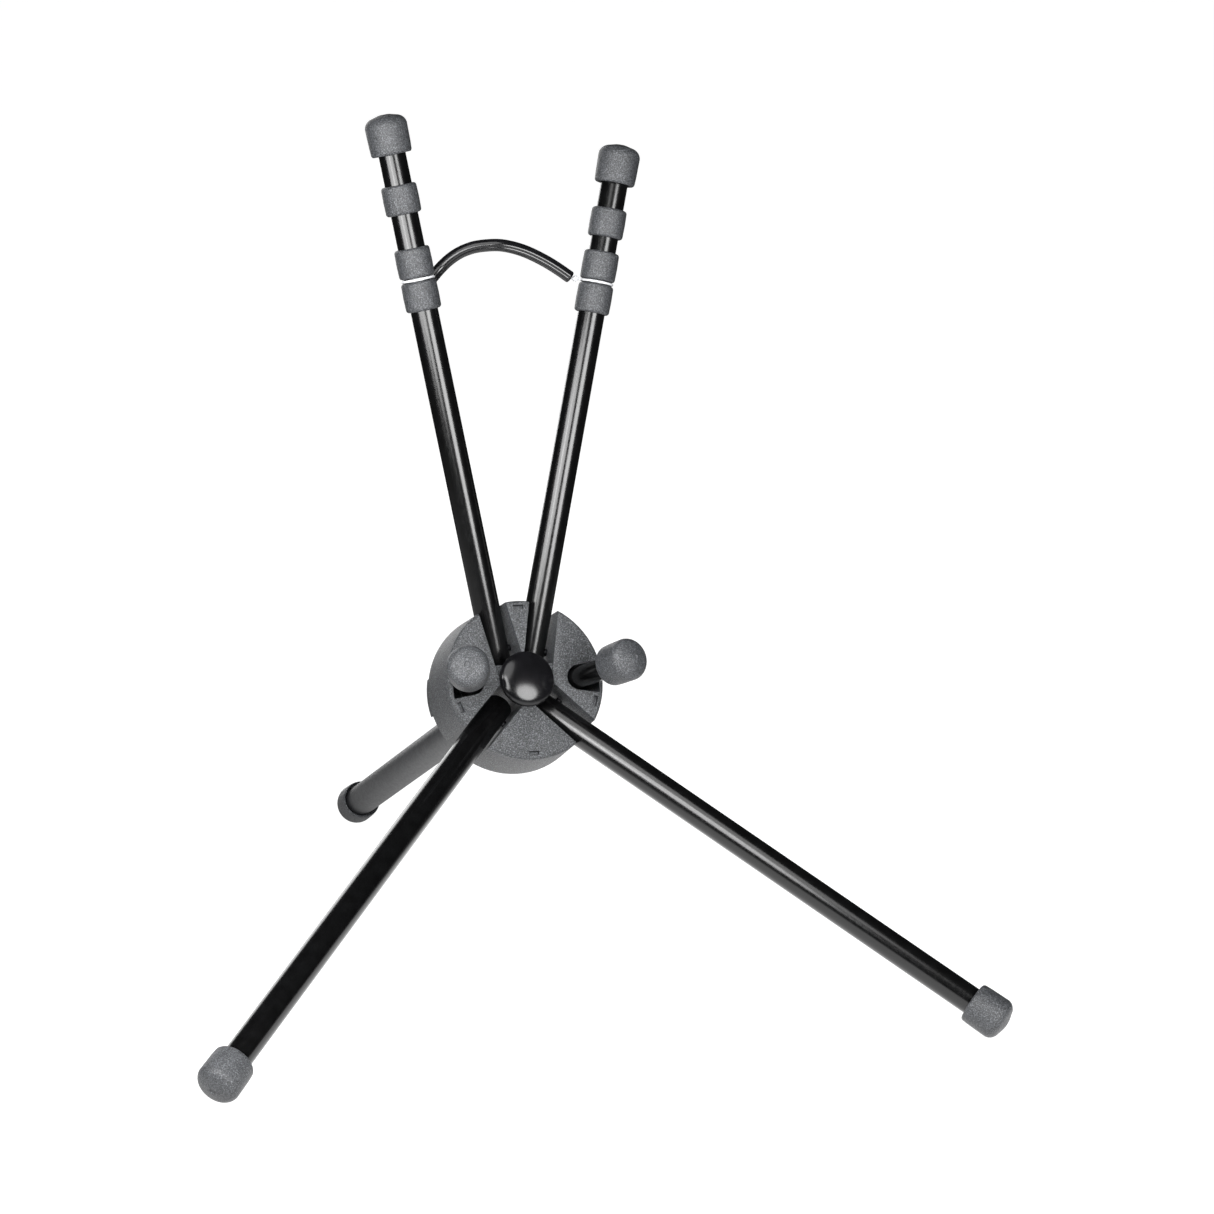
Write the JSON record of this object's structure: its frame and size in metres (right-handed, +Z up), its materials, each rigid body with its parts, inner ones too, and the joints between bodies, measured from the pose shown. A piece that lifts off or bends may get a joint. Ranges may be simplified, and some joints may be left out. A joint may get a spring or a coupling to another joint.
{
  "type": "folding saxophone stand",
  "caption": "Folding stand for a saxophone: a round hub with a rear leg, hinged front legs and upper arms, and short hinged pegs, all with rubber ends.",
  "frame": {"origin": "middle of the bounding box of the footprint, on the surface that the stand is on", "axes": "+Z up, -Y towards the player, where the pegs point, and +Y along the rear leg; +X to the right as the player looks at the stand"},
  "size_m": [0.352, 0.4172, 0.3732],
  "materials": {
    "black_enamelled_steel": "gloss",
    "grey_enamelled_steel": "satin",
    "grained_hub_plastic": "fine grain",
    "gloss_cap_plastic": "gloss",
    "grained_rubber": "fine grain",
    "zinc_plated_steel": "bright",
    "plug_nylon": "matte",
    "black_vinyl_sleeve": "gloss",
    "clear_cord": "satin"
  },
  "bodies": {
    "hub": {"hub_front_shell": "grained_hub_plastic", "hub_rear_cover": "grained_hub_plastic", "centre_cap": "gloss_cap_plastic", "centre_screw": "zinc_plated_steel", "rear_leg_tube": "grey_enamelled_steel", "rear_leg_insert": "zinc_plated_steel", "rear_foot_cap": "grained_rubber", "left_arm_hinge_pin": "zinc_plated_steel", "right_arm_hinge_pin": "zinc_plated_steel", "left_leg_hinge_pin": "zinc_plated_steel", "right_leg_hinge_pin": "zinc_plated_steel", "left_peg_hinge_pin": "zinc_plated_steel", "right_peg_hinge_pin": "zinc_plated_steel"},
    "left_arm": {"left_arm_tube": "black_enamelled_steel", "left_arm_hinge_plug": "plug_nylon", "left_arm_end_cap": "grained_rubber", "left_middle_ring": "grained_rubber", "left_lower_ring": "grained_rubber", "left_cord_loop": "clear_cord", "cord_sleeve": "black_vinyl_sleeve", "left_cord_end": "clear_cord", "cord_throat": "clear_cord", "cord_knot": "clear_cord", "right_cord_end": "clear_cord"},
    "left_upper_ring": {"left_upper_ring": "grained_rubber"},
    "left_leg": {"left_leg_tube": "black_enamelled_steel", "left_leg_hinge_plug": "plug_nylon", "left_foot_cap": "grained_rubber"},
    "left_peg": {"left_peg_tube": "black_enamelled_steel", "left_peg_hinge_plug": "plug_nylon", "left_peg_cap": "grained_rubber"},
    "right_arm": {"right_arm_tube": "black_enamelled_steel", "right_arm_hinge_plug": "plug_nylon", "right_arm_end_cap": "grained_rubber", "right_middle_ring": "grained_rubber", "right_lower_ring": "grained_rubber", "right_cord_loop": "clear_cord"},
    "right_upper_ring": {"right_upper_ring": "grained_rubber"},
    "right_leg": {"right_leg_tube": "black_enamelled_steel", "right_leg_hinge_plug": "plug_nylon", "right_foot_cap": "grained_rubber"},
    "right_peg": {"right_peg_tube": "black_enamelled_steel", "right_peg_hinge_plug": "plug_nylon", "right_peg_cap": "grained_rubber"}
  },
  "joints": [
    {"name": "left_arm_fold", "type": "hinge", "parent": "hub", "child": "left_arm", "pos_m": [-0.00834, -0.04548, 0.14135], "axis": [-0.9783, -0.0872, -0.1878], "range_deg": [0, 104.8], "deforming": ["cord_sleeve", "left_cord_end", "cord_throat", "cord_knot", "right_cord_end"]},
    {"name": "left_upper_ring_slide", "type": "slide", "parent": "left_arm", "child": "left_upper_ring", "axis": [-0.1977, 0.1235, 0.9724], "range_m": [-0.0145, 0.013]},
    {"name": "left_leg_fold", "type": "hinge", "parent": "hub", "child": "left_leg", "pos_m": [-0.01316, -0.05876, 0.11625], "axis": [0.7133, -0.2951, -0.6358], "range_deg": [0, 108.1]},
    {"name": "left_peg_tilt", "type": "hinge", "parent": "hub", "child": "left_peg", "pos_m": [-0.0196, -0.04881, 0.12534], "axis": [0, -0.421, -0.907], "range_deg": [0, 7.5]},
    {"name": "right_arm_fold", "type": "hinge", "parent": "hub", "child": "right_arm", "pos_m": [0.00834, -0.04548, 0.14135], "axis": [-0.9783, 0.0872, 0.1878], "range_deg": [0, 104.8]},
    {"name": "right_upper_ring_slide", "type": "slide", "parent": "right_arm", "child": "right_upper_ring", "axis": [0.1977, 0.1235, 0.9724], "range_m": [-0.006, 0.0105]},
    {"name": "right_leg_fold", "type": "hinge", "parent": "hub", "child": "right_leg", "pos_m": [0.01316, -0.05876, 0.11625], "axis": [0.7133, 0.2951, 0.6358], "range_deg": [0, 108.1]},
    {"name": "right_peg_tilt", "type": "hinge", "parent": "hub", "child": "right_peg", "pos_m": [0.0196, -0.04881, 0.12534], "axis": [0, 0.421, 0.907], "range_deg": [0, 7.5]}
  ],
  "couplings": [
    {"joint": "right_arm_fold", "follows": "left_arm_fold", "ratio": 1}
  ]
}
